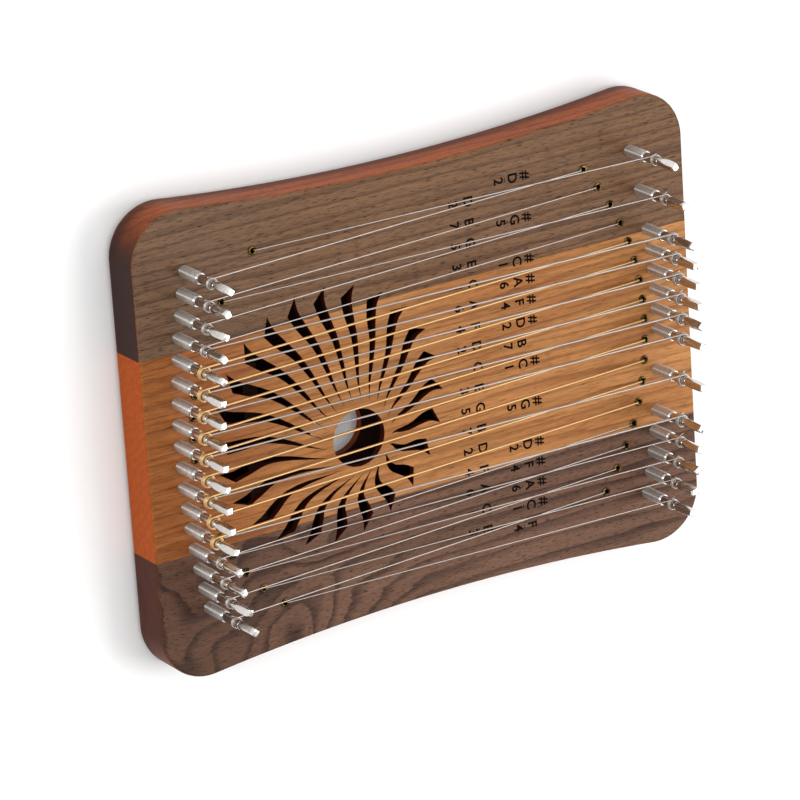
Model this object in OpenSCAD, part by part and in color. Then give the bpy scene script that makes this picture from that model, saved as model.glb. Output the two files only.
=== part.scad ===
// Cross-strung chromatic zither. Two crossing planes of strings run over a hollow wooden body.
// Millimetres. X runs along the strings, Y across them, Z out of the front. The back lies on Z = 0.

/* [Body] */
// Length of the body along the strings
body_l = 297; // [247:1:357]
// Width of the body at its waist
waist_w = 208; // [196:1:250]
// Radius of the hollow curve of each long side
side_r = 1075; // [800:5:1600]
// Radius of the four corners in plan
corner_r = 24; // [16:1:32]
// Thickness of the body, back panel included
body_t = 24; // [20:0.5:32]
// Radius of the rounded front edge
front_edge_r = 1.6; // [0.8:0.1:3]
// Radius of the rounded back edge
back_edge_r = 5; // [2:0.5:7]
// Width of the pale middle stave
centre_stave_w = 95.8; // [80:0.1:110]
// Offset of the middle stave across the body
centre_stave_y = -2.8; // [-6:0.1:6]

/* [Chamber] */
// Thickness of the back panel
back_t = 4; // [3:0.5:6]
// Thickness of the soundboard over the chamber
board_t = 3.5; // [2.5:0.1:5]
// Width of the rim left along the long sides
rim_w = 12; // [8:1:20]
// Wood left between the string holes and the chamber
block_margin = 6; // [4.5:0.5:9]
// Width of the braces
brace_w = 8; // [5:0.5:12]
// Height of the braces
brace_h = 7; // [4:0.5:8]
// Distance of the left back brace from the sound hole's centre
back_brace_left_in = 47.6; // [30:0.1:52]
// Distance of the right back brace from the sound hole's centre
back_brace_right_in = 68.4; // [30:0.1:75]
// Distance of the brace under the soundboard from the right block
board_brace_in = 44; // [20:1:50]

/* [Sound hole and rosette] */
// Radius of the sound hole
hole_r = 13.8; // [10:0.1:16.6]
// Offset of the sound hole from the rosette's centre, along the body
hole_dx = 14.6; // [8:0.1:18]
// Offset of the sound hole from the rosette's centre, across the body
hole_dy = -14.4; // [-18:0.1:-8]
// Radius of the circle that the flame tips lie on
rosette_r = 61.4; // [52:0.1:63]
// Distance of that circle's centre from the middle left grommet
rosette_in = 71.4; // [68:0.1:80]
// Centre of that circle across the body
rosette_y = -3; // [-6:0.1:3]
// Number of flame slots
flame_count = 24; // [12:1:28]
// Wood left between the sound hole and the flame roots
flame_root_gap = 3.4; // [2:0.1:6]

/* [Stringing] */
// Spacing of the strings across the body
pitch = 10; // [8.3:0.1:10.8]
// Offset across the body of the row of naturals
natural_y = 2.1; // [0:0.1:4]
// Offset across the body of the right pins
sharp_pin_y = 0.8; // [-1:0.1:2]
// Offset across the body of the left grommets
sharp_grommet_y = -1.4; // [-2:0.1:0]
// Distance of the middle left pin from the left end
left_pin_end = 16.5; // [13:0.1:20]
// Radius of the curve of the left pins
left_pin_arc = 357; // [300:1:500]
// Distance of the middle right pin from the right end
right_pin_end = 19.7; // [16:0.1:24]
// Radius of the curve of the right pins
right_pin_arc = 350; // [300:1:500]
// Distance between the right pins and the right grommets at the middle
right_grommet_gap = 6.8; // [6:0.1:9]
// Radius of the curve of the right grommets
right_grommet_arc = 127; // [125:0.5:150]
// Distance between the left pins and the left grommets at the middle
left_grommet_gap = 7.6; // [6.5:0.1:9]
// Radius of the curve of the left grommets
left_grommet_arc = 112; // [110:0.5:125]
// Diameter of the bronze-wound strings
bronze_d = 1.1; // [0.8:0.05:1.4]
// Diameter of the silver-wound strings
silver_d = 0.9; // [0.7:0.05:1.3]
// Diameter of the plain strings
plain_d = 0.5; // [0.3:0.05:0.8]

/* [Tuning pins] */
// Diameter of the pin's shank
pin_d = 5.5; // [4.5:0.1:6.6]
// Diameter of the pin's neck
neck_d = 4.4; // [3.4:0.1:4.5]
// Diameter over the corners of the square head
head_d = 4.2; // [3.4:0.1:4.4]
// Width over the flats at the top of the head
head_flat = 3.3; // [2.6:0.1:3.6]
// Length of the square head
head_l = 12.5; // [9:0.5:15]
// Height of a left pin above the front
left_pin_h = 41; // [36:0.5:46]
// Height of a right pin above the front
right_pin_h = 37.5; // [35:0.5:46]
// Height of the shank's shoulder on a left pin
left_shoulder_h = 15; // [10:0.5:16]
// Height of the shank's shoulder on a right pin
right_shoulder_h = 14; // [10:0.5:15]
// Wood left under a pin's hole, down to the back panel
pin_floor = 2.5; // [2:0.5:4]
// Running clearance of a pin in its hole, on the radius
pin_clear = 0.05; // [0.01:0.01:0.1]

/* [String holes] */
// Outside diameter of a grommet's flange
grommet_d = 4.3; // [3.6:0.1:5]
// Bore of a grommet
grommet_bore_d = 2.3; // [1.8:0.1:2.6]
// Diameter of a grommet's barrel
grommet_barrel_d = 3.2; // [2.9:0.1:3.5]
// Length of a grommet's barrel in the wood
grommet_l = 5; // [3:0.5:7]
// Thickness of a grommet's flange
grommet_flange_t = 0.6; // [0.4:0.1:1]
// Outside diameter of a back ferrule
ferrule_d = 6; // [5.6:0.1:6.6]
// Length of a back ferrule
ferrule_l = 7; // [6:0.5:9]
// Diameter of a string's ball end
ball_d = 3.8; // [3:0.1:4]

/* [Hidden] */
$fn = 48;

walnut = [0.36, 0.26, 0.20];
cherry = [0.72, 0.50, 0.32];
spruce = [0.86, 0.74, 0.54];
brass = [0.78, 0.62, 0.30];
steel = [0.80, 0.80, 0.82];
bronze = [0.83, 0.66, 0.42];
silver = [0.86, 0.86, 0.84];

big = 600;
fit_gap = 0.02;       // between a glued or pressed piece and its seat
coil_gap = 0.03;      // between a coil and the neck it is wound on
string_gap = 0.2;     // between a coil and the free end of its string
naturals = 17;
first_bronze = 4;     // naturals 5 to 13 are bronze-wound
last_bronze = 12;
// rows of the right pins, counted from the upper long side, as on a keyboard's black keys
sharp_rows = [0, 2, 4, 5, 6, 7, 8, 9, 11, 13, 14, 15, 16, 17];
first_silver = 2;     // sharps 3 to 10 are silver-wound
last_silver = 9;

// ---- outline of the body -------------------------------------------------------------------
corner_x = body_l / 2 - corner_r;
side_cy = waist_w / 2 + side_r;
corner_y = side_cy - sqrt(pow(side_r + corner_r, 2) - pow(corner_x, 2));
join_a = asin(corner_x / (side_r + corner_r));
corner_steps = 12;
side_steps = 20;

function corner_pt(a, inset) = [corner_x + (corner_r - inset) * cos(a),
    corner_y + (corner_r - inset) * sin(a)];
function side_pt(a, inset) = [(side_r + inset) * sin(a), side_cy - (side_r + inset) * cos(a)];
function quarter(inset) = concat(
    [for (i = [0 : corner_steps]) corner_pt(i * (90 + join_a) / corner_steps, inset)],
    [for (i = [1 : side_steps / 2]) side_pt(join_a * (1 - 2 * i / side_steps), inset)]);
function turn_left(p) = [for (i = [len(p) - 2 : -1 : 0]) [-p[i][0], p[i][1]]];
function upper_half(inset) = concat(quarter(inset), turn_left(quarter(inset)));
function outline(inset) = concat(upper_half(inset), [for (p = upper_half(inset)) [-p[0], -p[1]]]);

// rings of the rounded skin: [height, inset]
edge_steps = 4;
rings = concat(
    [for (i = [0 : edge_steps]) let (a = 90 * i / edge_steps)
        [back_edge_r * (1 - cos(a)), back_edge_r * (1 - sin(a))]],
    [for (i = [0 : edge_steps]) let (a = 90 * i / edge_steps)
        [body_t - front_edge_r * (1 - sin(a)), front_edge_r * (1 - cos(a))]]);

module skin() {
    n = len(outline(0));
    m = len(rings);
    pts = [for (r = rings) for (p = outline(r[1])) [p[0], p[1], r[0]]];
    sides = [for (k = [0 : m - 2]) for (i = [0 : n - 1]) let (j = (i + 1) % n)
        each [[k * n + i, (k + 1) * n + i, k * n + j], [k * n + j, (k + 1) * n + i, (k + 1) * n + j]]];
    polyhedron(points = pts, faces = concat([[for (i = [0 : n - 1]) i]], sides,
        [[for (i = [n - 1 : -1 : 0]) (m - 1) * n + i]]));
}

stave_top = centre_stave_y + centre_stave_w / 2;
stave_bottom = centre_stave_y - centre_stave_w / 2;

module slab(y0, y1, z0, z1) translate([-big / 2, y0, z0]) cube([big, y1 - y0, z1 - z0]);

// ---- where the strings, pins and grommets stand --------------------------------------------
function natural_row(i) = natural_y + pitch * ((naturals - 1) / 2 - i);
function sharp_row(k) = pitch * (naturals / 2 - sharp_rows[k]);
function arc_drop(r, y) = r - sqrt(r * r - y * y);

left_pin_x = body_l / 2 - left_pin_end;
right_pin_x = body_l / 2 - right_pin_end;
left_grommet_x = left_pin_x - left_grommet_gap;
right_grommet_x = right_pin_x - right_grommet_gap;

left_pins = [for (i = [0 : naturals - 1]) let (y = natural_row(i))
    [-left_pin_x + arc_drop(left_pin_arc, y), y]];
right_pins = [for (k = [0 : len(sharp_rows) - 1]) let (y = sharp_row(k) + sharp_pin_y)
    [right_pin_x - arc_drop(right_pin_arc, y), y]];
right_holes = [for (i = [0 : naturals - 1]) let (y = natural_row(i))
    [right_grommet_x - arc_drop(right_grommet_arc, y), y]];
left_holes = [for (k = [0 : len(sharp_rows) - 1]) let (y = sharp_row(k) + sharp_grommet_y)
    [-left_grommet_x + arc_drop(left_grommet_arc, y), y]];

// ---- the chamber inside ---------------------------------------------------------------------
// Its two ends follow the rows of string holes, and its sides follow the outline.
chamber_left_r = left_grommet_arc - block_margin;
chamber_left_x = -left_grommet_x + left_grommet_arc;
chamber_right_r = right_grommet_arc - block_margin;
chamber_right_x = right_grommet_x - right_grommet_arc;
chamber_top = body_t - board_t;
rosette_x = -left_grommet_x + rosette_in;
hole_x = rosette_x + hole_dx;
hole_y = rosette_y + hole_dy;

// a round end of radius r about x, open toward the other end
module round_end(x, r, toward) translate([x, 0, 0]) {
    cylinder(r = r, h = body_t, $fn = 96);
    translate([toward > 0 ? 0 : -big, -r, 0]) cube([big, 2 * r, body_t]);
}
module chamber() translate([0, 0, back_t - 1]) intersection() {
    linear_extrude(chamber_top - back_t + 1) polygon(outline(rim_w));
    round_end(chamber_left_x, chamber_left_r, 1);
    round_end(chamber_right_x, chamber_right_r, -1);
}

// half length of the chamber across the body at a given x
function chamber_half(x) = min(
    side_cy - sqrt(pow(side_r + rim_w, 2) - x * x),
    sqrt(pow(chamber_left_r, 2) - pow(min(x - chamber_left_x, 0), 2)),
    sqrt(pow(chamber_right_r, 2) - pow(max(x - chamber_right_x, 0), 2)));

// ---- the rosette ----------------------------------------------------------------------------
// Each flame grows from a ring round the sound hole to a tip on the rosette circle. Its two
// edges are turned by these angles as it goes out, given as [part of the way, degrees].
leading_turn = [[0, 7.5], [0.15, 3], [0.3, -1], [0.5, -2.4], [0.7, -0.5], [0.85, 0.8], [1, 0]];
trailing_turn = [[0, 7.5], [0.15, 5.5], [0.3, 3.2], [0.5, 2.7], [0.7, 5.9], [0.86, 7]];
flame_shift = 1.7;    // how early the rings move from the hole's centre to the rosette's
flame_phase = -1.9;
flame_steps = 10;

function flame_pt(s, a) = let (u = 1 - pow(1 - s, flame_shift),
        r = hole_r + flame_root_gap + (rosette_r - hole_r - flame_root_gap) * s)
    [hole_x + (rosette_x - hole_x) * u + r * cos(a), hole_y + (rosette_y - hole_y) * u + r * sin(a)];
function flame(a) = concat(
    [for (i = [0 : flame_steps]) let (s = i / flame_steps) flame_pt(s, a + lookup(s, leading_turn))],
    [for (i = [flame_steps : -1 : 1]) let (s = 0.86 * i / flame_steps)
        flame_pt(s, a + lookup(s, trailing_turn))]);

module rosette() translate([0, 0, chamber_top - 1]) linear_extrude(board_t + 2)
    for (k = [0 : flame_count - 1]) polygon(flame(flame_phase + k * 360 / flame_count));

module sound_hole(z0, z1) translate([hole_x, hole_y, z0]) cylinder(r = hole_r, h = z1 - z0);

// ---- front and back staves ------------------------------------------------------------------
pin_hole_r = pin_d / 2 + pin_clear;
pin_hole_depth = body_t - back_t - pin_floor;
pin_in = pin_hole_depth - 0.5;

module pin_holes(y0, y1) for (p = concat(left_pins, right_pins))
    if (p[1] > y0 - pin_d && p[1] < y1 + pin_d)
        translate([p[0], p[1], body_t - pin_hole_depth]) cylinder(r = pin_hole_r, h = pin_hole_depth + 5);

// grommet seat at the front, string way through, ferrule seat at the back
module string_holes(y0, y1) for (p = concat(right_holes, left_holes))
    if (p[1] > y0 - ferrule_d && p[1] < y1 + ferrule_d) translate([p[0], p[1], 0]) {
        translate([0, 0, body_t - grommet_l - fit_gap])
            cylinder(d = grommet_barrel_d + 2 * fit_gap, h = grommet_l + 5);
        cylinder(d = grommet_bore_d, h = body_t);
        translate([0, 0, -1]) cylinder(d = ferrule_d + 2 * fit_gap, h = ferrule_l + 1 + fit_gap);
    }

module front_stave(y0, y1) difference() {
    intersection() {
        skin();
        slab(y0, y1, back_t, body_t + 1);
    }
    chamber();
    rosette();
    sound_hole(back_t, body_t + 1);
    pin_holes(y0, y1);
    string_holes(y0, y1);
}

module back_stave(y0, y1) difference() {
    intersection() {
        skin();
        slab(y0, y1, -1, back_t);
    }
    sound_hole(-1, back_t + 1);
    string_holes(y0, y1);
}

module front_walnut_upper() color(walnut) front_stave(stave_top, big);
module front_cherry_centre() color(cherry) front_stave(stave_bottom, stave_top);
module front_walnut_lower() color(walnut) front_stave(-big, stave_bottom);
module back_walnut_upper() color(walnut) back_stave(stave_top, big);
module back_cherry_centre() color(cherry) back_stave(stave_bottom, stave_top);
module back_walnut_lower() color(walnut) back_stave(-big, stave_bottom);

// ---- braces ---------------------------------------------------------------------------------
module brace(x, z) {
    half = min(chamber_half(x - brace_w / 2), chamber_half(x + brace_w / 2)) - 0.5;
    translate([x - brace_w / 2, -half, z]) cube([brace_w, 2 * half, brace_h]);
}
module back_brace_left() color(spruce) brace(hole_x - back_brace_left_in, back_t);
module back_brace_right() color(spruce) brace(hole_x + back_brace_right_in, back_t);
module board_brace() color(spruce)
    brace(chamber_right_x + chamber_right_r - board_brace_in, chamber_top - brace_h);

// ---- grommets, ferrules and ball ends -------------------------------------------------------
module grommet() difference() {
    union() {
        translate([0, 0, body_t]) cylinder(d = grommet_d, h = grommet_flange_t);
        translate([0, 0, body_t - grommet_l]) cylinder(d = grommet_barrel_d, h = grommet_l);
    }
    cylinder(d = grommet_bore_d, h = body_t + 5);
}
ferrule_shoulder = 2;
ferrule_bore_d = ball_d + 0.4;
module ferrule() difference() {
    cylinder(d = ferrule_d, h = ferrule_l);
    translate([0, 0, -1]) cylinder(d = ferrule_bore_d, h = ferrule_l - ferrule_shoulder + 1);
    cylinder(d = grommet_bore_d, h = ferrule_l + 1);
}
ball_top = ferrule_l - ferrule_shoulder - 0.05;
module ball_end() translate([0, 0, ball_top - ball_d]) difference() {
    cylinder(d = ball_d, h = ball_d);
    translate([0, 0, -1]) cylinder(d = string_way, h = ball_d + 2);
}
string_way = max(bronze_d, silver_d, plain_d) + 0.1;

module right_grommets() color(brass) for (p = right_holes) translate(p) grommet();
module left_grommets() color(brass) for (p = left_holes) translate(p) grommet();
module right_ferrules() color(brass) for (p = right_holes) translate(p) ferrule();
module left_ferrules() color(brass) for (p = left_holes) translate(p) ferrule();
module right_ball_ends() color(brass) for (p = right_holes) translate(p) ball_end();
module left_ball_ends() color(brass) for (p = left_holes) translate(p) ball_end();

// ---- strings --------------------------------------------------------------------------------
left_coil_z = body_t + left_shoulder_h + 0.75 * (left_pin_h - left_shoulder_h - head_l);
right_coil_z = body_t + right_shoulder_h + 0.75 * (right_pin_h - right_shoulder_h - head_l);

// the free string starts just clear of its coil, runs to the grommet and turns down to the ball
module one_string(pin, hole, coil_z, d) {
    reach = neck_d / 2 + coil_gap + 1.5 * d + string_gap;
    side = neck_d / 2 + coil_gap + d / 2;
    toward = hole[0] > pin[0] ? 1 : -1;
    a = [pin[0] + toward * sqrt(reach * reach - side * side), pin[1] + side, coil_z];
    b = [hole[0], hole[1], body_t + grommet_flange_t + d / 2 + 0.1];
    v = b - a;
    run = norm([v[0], v[1]]);
    translate(a) rotate([0, 0, atan2(v[1], v[0])]) rotate([0, atan2(run, v[2]), 0])
        cylinder(d = d, h = norm(v));
    translate(b) sphere(d = d * 1.06);
    translate([b[0], b[1], ball_top - ball_d]) cylinder(d = d, h = b[2] - ball_top + ball_d);
}
function natural_is_bronze(i) = i >= first_bronze && i <= last_bronze;
function sharp_is_silver(k) = k >= first_silver && k <= last_silver;

module bronze_wound_strings() color(bronze) for (i = [first_bronze : last_bronze])
    one_string(left_pins[i], right_holes[i], left_coil_z, bronze_d);
module plain_natural_strings() color(steel) for (i = [0 : naturals - 1]) if (!natural_is_bronze(i))
    one_string(left_pins[i], right_holes[i], left_coil_z, plain_d);
module silver_wound_strings() color(silver) for (k = [first_silver : last_silver])
    one_string(right_pins[k], left_holes[k], right_coil_z, silver_d);
module plain_sharp_strings() color(steel) for (k = [0 : len(sharp_rows) - 1]) if (!sharp_is_silver(k))
    one_string(right_pins[k], left_holes[k], right_coil_z, plain_d);

// ---- tuning pins ----------------------------------------------------------------------------
tip_chamfer = 0.8;
module pin(h, shoulder) translate([0, 0, body_t]) difference() {
    union() {
        translate([0, 0, -pin_in]) cylinder(d1 = pin_d - 2 * tip_chamfer, d2 = pin_d, h = tip_chamfer);
        translate([0, 0, tip_chamfer - pin_in])
            cylinder(d = pin_d, h = pin_in - tip_chamfer + shoulder);
        translate([0, 0, shoulder]) cylinder(d = neck_d, h = h - head_l - shoulder);
        translate([0, 0, h - head_l]) cylinder(d = head_d, h = head_l);
    }
    // four flats that taper toward the top
    taper = atan2((head_d - head_flat) / 2, head_l);
    for (a = [0 : 90 : 270]) rotate([0, 0, a + 45])
        translate([head_flat / 2, -head_d, h]) rotate([0, -taper, 0])
            translate([0, 0, 0.4 - head_l]) cube([head_d, 2 * head_d, head_l + 2]);
}
module coil(z, d, turns) for (t = [0 : turns - 1])
    translate([0, 0, z + (t - turns + 1) * d * 1.05])
        rotate_extrude() translate([neck_d / 2 + coil_gap + d / 2, 0]) circle(d = d, $fn = 24);

module left_pin(i) translate(left_pins[i]) {
    color(steel) pin(left_pin_h, left_shoulder_h);
    if (natural_is_bronze(i)) color(bronze) coil(left_coil_z, bronze_d, 3);
    else color(steel) coil(left_coil_z, plain_d, 4);
}
module right_pin(k) translate(right_pins[k]) {
    color(steel) pin(right_pin_h, right_shoulder_h);
    if (sharp_is_silver(k)) color(silver) coil(right_coil_z, silver_d, 3);
    else color(steel) coil(right_coil_z, plain_d, 4);
}

front_walnut_upper();
front_cherry_centre();
front_walnut_lower();
back_walnut_upper();
back_cherry_centre();
back_walnut_lower();
back_brace_left();
back_brace_right();
board_brace();
right_grommets();
left_grommets();
right_ferrules();
left_ferrules();
right_ball_ends();
left_ball_ends();
bronze_wound_strings();
plain_natural_strings();
silver_wound_strings();
plain_sharp_strings();
left_pin(0);  // pin_left_01
left_pin(1);  // pin_left_02
left_pin(2);  // pin_left_03
left_pin(3);  // pin_left_04
left_pin(4);  // pin_left_05
left_pin(5);  // pin_left_06
left_pin(6);  // pin_left_07
left_pin(7);  // pin_left_08
left_pin(8);  // pin_left_09
left_pin(9);  // pin_left_10
left_pin(10);  // pin_left_11
left_pin(11);  // pin_left_12
left_pin(12);  // pin_left_13
left_pin(13);  // pin_left_14
left_pin(14);  // pin_left_15
left_pin(15);  // pin_left_16
left_pin(16);  // pin_left_17
right_pin(0);  // pin_right_01
right_pin(1);  // pin_right_02
right_pin(2);  // pin_right_03
right_pin(3);  // pin_right_04
right_pin(4);  // pin_right_05
right_pin(5);  // pin_right_06
right_pin(6);  // pin_right_07
right_pin(7);  // pin_right_08
right_pin(8);  // pin_right_09
right_pin(9);  // pin_right_10
right_pin(10);  // pin_right_11
right_pin(11);  // pin_right_12
right_pin(12);  // pin_right_13
right_pin(13);  // pin_right_14
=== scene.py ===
"""Cross-strung chromatic zither: a hollow walnut and cherry body with 31 tuning pins and strings."""
import math
import random

import bmesh
import bpy
from mathutils import Matrix, Vector


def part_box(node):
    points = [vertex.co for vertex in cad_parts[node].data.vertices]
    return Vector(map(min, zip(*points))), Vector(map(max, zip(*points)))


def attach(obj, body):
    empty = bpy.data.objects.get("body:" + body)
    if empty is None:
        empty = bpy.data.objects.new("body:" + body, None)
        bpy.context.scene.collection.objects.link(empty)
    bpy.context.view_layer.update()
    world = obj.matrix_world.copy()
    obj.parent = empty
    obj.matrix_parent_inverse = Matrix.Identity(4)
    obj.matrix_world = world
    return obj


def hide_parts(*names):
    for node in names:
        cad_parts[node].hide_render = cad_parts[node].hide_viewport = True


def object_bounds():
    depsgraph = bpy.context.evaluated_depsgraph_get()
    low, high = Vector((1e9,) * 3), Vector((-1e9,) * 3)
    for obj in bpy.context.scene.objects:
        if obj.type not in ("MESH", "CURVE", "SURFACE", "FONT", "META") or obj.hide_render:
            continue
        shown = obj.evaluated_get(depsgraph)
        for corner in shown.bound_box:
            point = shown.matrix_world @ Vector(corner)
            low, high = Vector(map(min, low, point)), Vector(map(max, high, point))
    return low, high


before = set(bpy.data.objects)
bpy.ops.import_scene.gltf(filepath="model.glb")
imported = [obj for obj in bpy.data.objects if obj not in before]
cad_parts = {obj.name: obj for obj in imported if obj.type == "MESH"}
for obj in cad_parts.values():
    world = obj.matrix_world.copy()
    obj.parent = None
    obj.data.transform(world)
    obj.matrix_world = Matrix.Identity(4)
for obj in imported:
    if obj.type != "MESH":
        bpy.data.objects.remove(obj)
cad_low, cad_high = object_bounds()
mm = 0.001

# ---- camera --------------------------------------------------
# A long lens from above the left end, over the upper long side, rolled a little. It stands 2.4 m off,
# so that the far pins look nearly as large as the near ones.
camera_at = Vector((-1.178, 0.787, 1.9305))
camera_turn = [math.radians(a) for a in (-17.25, -32.59, -4.29)]
camera = bpy.data.objects.new("camera", bpy.data.cameras.new("camera"))
camera.data.lens = 232.95
camera.data.clip_end = 20
camera.location = camera_at
camera.rotation_euler = camera_turn
bpy.context.scene.collection.objects.link(camera)
bpy.context.scene.camera = camera
bpy.context.scene.view_settings.view_transform = "Standard"


# ---- floor and light -----------------------------------------
# A pale board with matt roller paint, whose stipple is 2.5 mm wide, under soft boxes in a pale room, as
# in a small product studio. The paint spreads light evenly, so the shadows stay soft and grey.
def linear(code):
    """An sRGB hex colour as linear red, green, blue and alpha."""
    parts = [int(code[i:i + 2], 16) / 255 for i in (1, 3, 5)]
    return [c / 12.92 if c <= 0.04045 else ((c + 0.055) / 1.055) ** 2.4 for c in parts] + [1.0]


def add_node(tree, kind, sockets=None, **settings):
    """Adds a node, sets its properties, and fills each named socket with a value or a link."""
    made = tree.nodes.new(kind)
    for key, value in settings.items():
        setattr(made, key, value)
    for key, value in (sockets or {}).items():
        if isinstance(value, bpy.types.NodeSocket):
            tree.links.new(value, made.inputs[key])
        else:
            made.inputs[key].default_value = value
    return made


def new_material(name):
    """An empty node material, with its tree and its output node."""
    made = bpy.data.materials.new(name)
    made.use_nodes = True
    made.node_tree.nodes.clear()
    return made, made.node_tree, add_node(made.node_tree, "ShaderNodeOutputMaterial")


floor_paint, tree, out = new_material("floor_board_matt_paint")
stipple_mm, stipple_deep = 2.5, 0.05
place = add_node(tree, "ShaderNodeTexCoord")
stipple = add_node(tree, "ShaderNodeTexNoise", {
    "Vector": place.outputs["Object"], "Scale": 1000 / stipple_mm})
dimple = add_node(tree, "ShaderNodeBump", {
    "Height": stipple.outputs["Fac"], "Distance": stipple_deep * mm})
paint = add_node(tree, "ShaderNodeBsdfPrincipled", {
    "Base Color": linear("#f6f6f5"), "Roughness": 0.85, "Normal": dimple.outputs["Normal"]})
tree.links.new(paint.outputs[0], out.inputs["Surface"])

floor_r, floor_steps = 8.0, 96
floor = bpy.data.objects.new("floor", bpy.data.meshes.new("floor"))
bm = bmesh.new()
bmesh.ops.create_circle(bm, cap_ends=True, segments=floor_steps, radius=floor_r)
bm.to_mesh(floor.data)
bm.free()
floor.data.materials.append(floor_paint)
bpy.context.scene.collection.objects.link(floor)

# the room is darkest near the floor and brightest overhead and beyond the upper long side
world = bpy.data.worlds.new("studio_air")
world.use_nodes = True
tree = world.node_tree
heading = add_node(tree, "ShaderNodeTexCoord")
rise = add_node(tree, "ShaderNodeSeparateXYZ", {"Vector": heading.outputs["Generated"]})
ceiling = add_node(tree, "ShaderNodeMapRange", {
    "Value": rise.outputs["Z"], "From Min": 0.05, "From Max": 0.85, "To Min": 0.22, "To Max": 1.18})
bright_wall = add_node(tree, "ShaderNodeMapRange", {
    "Value": rise.outputs["Y"], "From Min": -0.7, "From Max": 0.7, "To Min": 0.42, "To Max": 1.5})
level = add_node(tree, "ShaderNodeMath", {0: ceiling.outputs[0], 1: bright_wall.outputs[0]},
                 operation="MULTIPLY")
tree.nodes["Background"].inputs["Color"].default_value = linear("#f4f4f5")
tree.links.new(level.outputs[0], tree.nodes["Background"].inputs["Strength"])
bpy.context.scene.world = world

aim = Vector((0, 0, cad_high.z / 3))
soft_boxes = [
    # name, place, width and height in metres, watts
    ("key_box", (0.95, -0.2, 1.25), 0.9, 0.9, 13),
    ("fill_box", (-0.5, -1.3, 1.6), 1.2, 1.2, 5),
    ("left_strip", (-1.5, 0.5, 0.55), 0.22, 1.1, 8),
]
for name, at, width, height, watts in soft_boxes:
    box = bpy.data.lights.new(name, "AREA")
    box.shape = "RECTANGLE"
    box.size, box.size_y = width, height
    box.energy = watts
    holder = bpy.data.objects.new(name, box)
    holder.location = at
    holder.rotation_euler = (aim - Vector(at)).to_track_quat("-Z", "Y").to_euler()
    bpy.context.scene.collection.objects.link(holder)

# ---- body blank ----------------------------------------------
# Three staves, walnut, cherry and walnut, are edge-glued and sawn to the outline, and the back is a
# thinner panel of the same three woods. The edges are routed round, small in front, larger behind.
body_l, body_t = cad_high.x / mm * 2, 24.0
waist_w, side_r, corner_r = 208.0, 1075.0, 24.0
front_edge_r, back_edge_r = 1.6, 5.0
# the staves' joints are not quite in the middle: the cherry stave's width, and its middle in Y
centre_stave_w, centre_stave_y = 95.8, -2.8
back_t, board_t, rim_w, block_margin = 4.0, 3.5, 12.0, 6.0
stave_top = centre_stave_y + centre_stave_w / 2
stave_bottom = centre_stave_y - centre_stave_w / 2
corner_x = body_l / 2 - corner_r
side_cy = waist_w / 2 + side_r
corner_y = side_cy - math.sqrt((side_r + corner_r) ** 2 - corner_x ** 2)
join_a = math.asin(corner_x / (side_r + corner_r))
corner_steps, side_steps, edge_steps = 40, 60, 8


def outline(inset):
    """Points round the body, this far inside its edge."""
    turn = [math.radians(90) * i / corner_steps + join_a * i / corner_steps for i in range(corner_steps + 1)]
    quarter = [(corner_x + (corner_r - inset) * math.cos(a), corner_y + (corner_r - inset) * math.sin(a))
               for a in turn]
    for i in range(1, side_steps // 2 + 1):
        a = join_a * (1 - 2 * i / side_steps)
        quarter.append(((side_r + inset) * math.sin(a), side_cy - (side_r + inset) * math.cos(a)))
    upper = quarter + [(-x, y) for x, y in reversed(quarter[:-1])]
    return upper + [(-x, -y) for x, y in upper]


def loft(bm, rings, material_index=0):
    """Closed skin through rings that have the same number of points, with its two end faces."""
    rows = [[bm.verts.new(p) for p in ring] for ring in rings]
    for low, high in zip(rows, rows[1:]):
        for i in range(len(low)):
            j = (i + 1) % len(low)
            bm.faces.new((low[i], low[j], high[j], high[i])).material_index = material_index
    bm.faces.new(reversed(rows[0])).material_index = material_index
    bm.faces.new(rows[-1]).material_index = material_index


def new_piece(name, bm, materials, scale=mm):
    """A piece of the object, from a mesh drawn in millimetres."""
    bmesh.ops.transform(bm, matrix=Matrix.Scale(scale, 4), verts=bm.verts)
    data = bpy.data.meshes.new(name)
    bm.to_mesh(data)
    bm.free()
    for m in materials:
        data.materials.append(m)
    piece = bpy.data.objects.new(name, data)
    bpy.context.scene.collection.objects.link(piece)
    return piece


def soften(piece, degrees):
    """Smooth shading that stays crisp at edges sharper than this."""
    piece.data.shade_smooth()
    piece.data.set_sharp_from_angle(angle=math.radians(degrees))


# height of each ring of the blank, and how far inside the outline it lies
rounding = [math.pi / 2 * i / edge_steps for i in range(edge_steps + 1)]
blank_rings = [(back_edge_r * (1 - math.cos(a)), back_edge_r * (1 - math.sin(a))) for a in rounding]
blank_rings += [(body_t - front_edge_r * (1 - math.sin(a)), front_edge_r * (1 - math.cos(a)))
                for a in rounding]

# ---- walnut and cherry ---------------------------------------
# Planed, sanded and oiled: growth rings round a far-off heart, pores as short dark dashes along the
# grain, and fine fibres. The long sides are coloured redder than the face, and the end grain deeper. The
# sides darken towards the back and the face towards the left end, both as painted shade.


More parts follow.
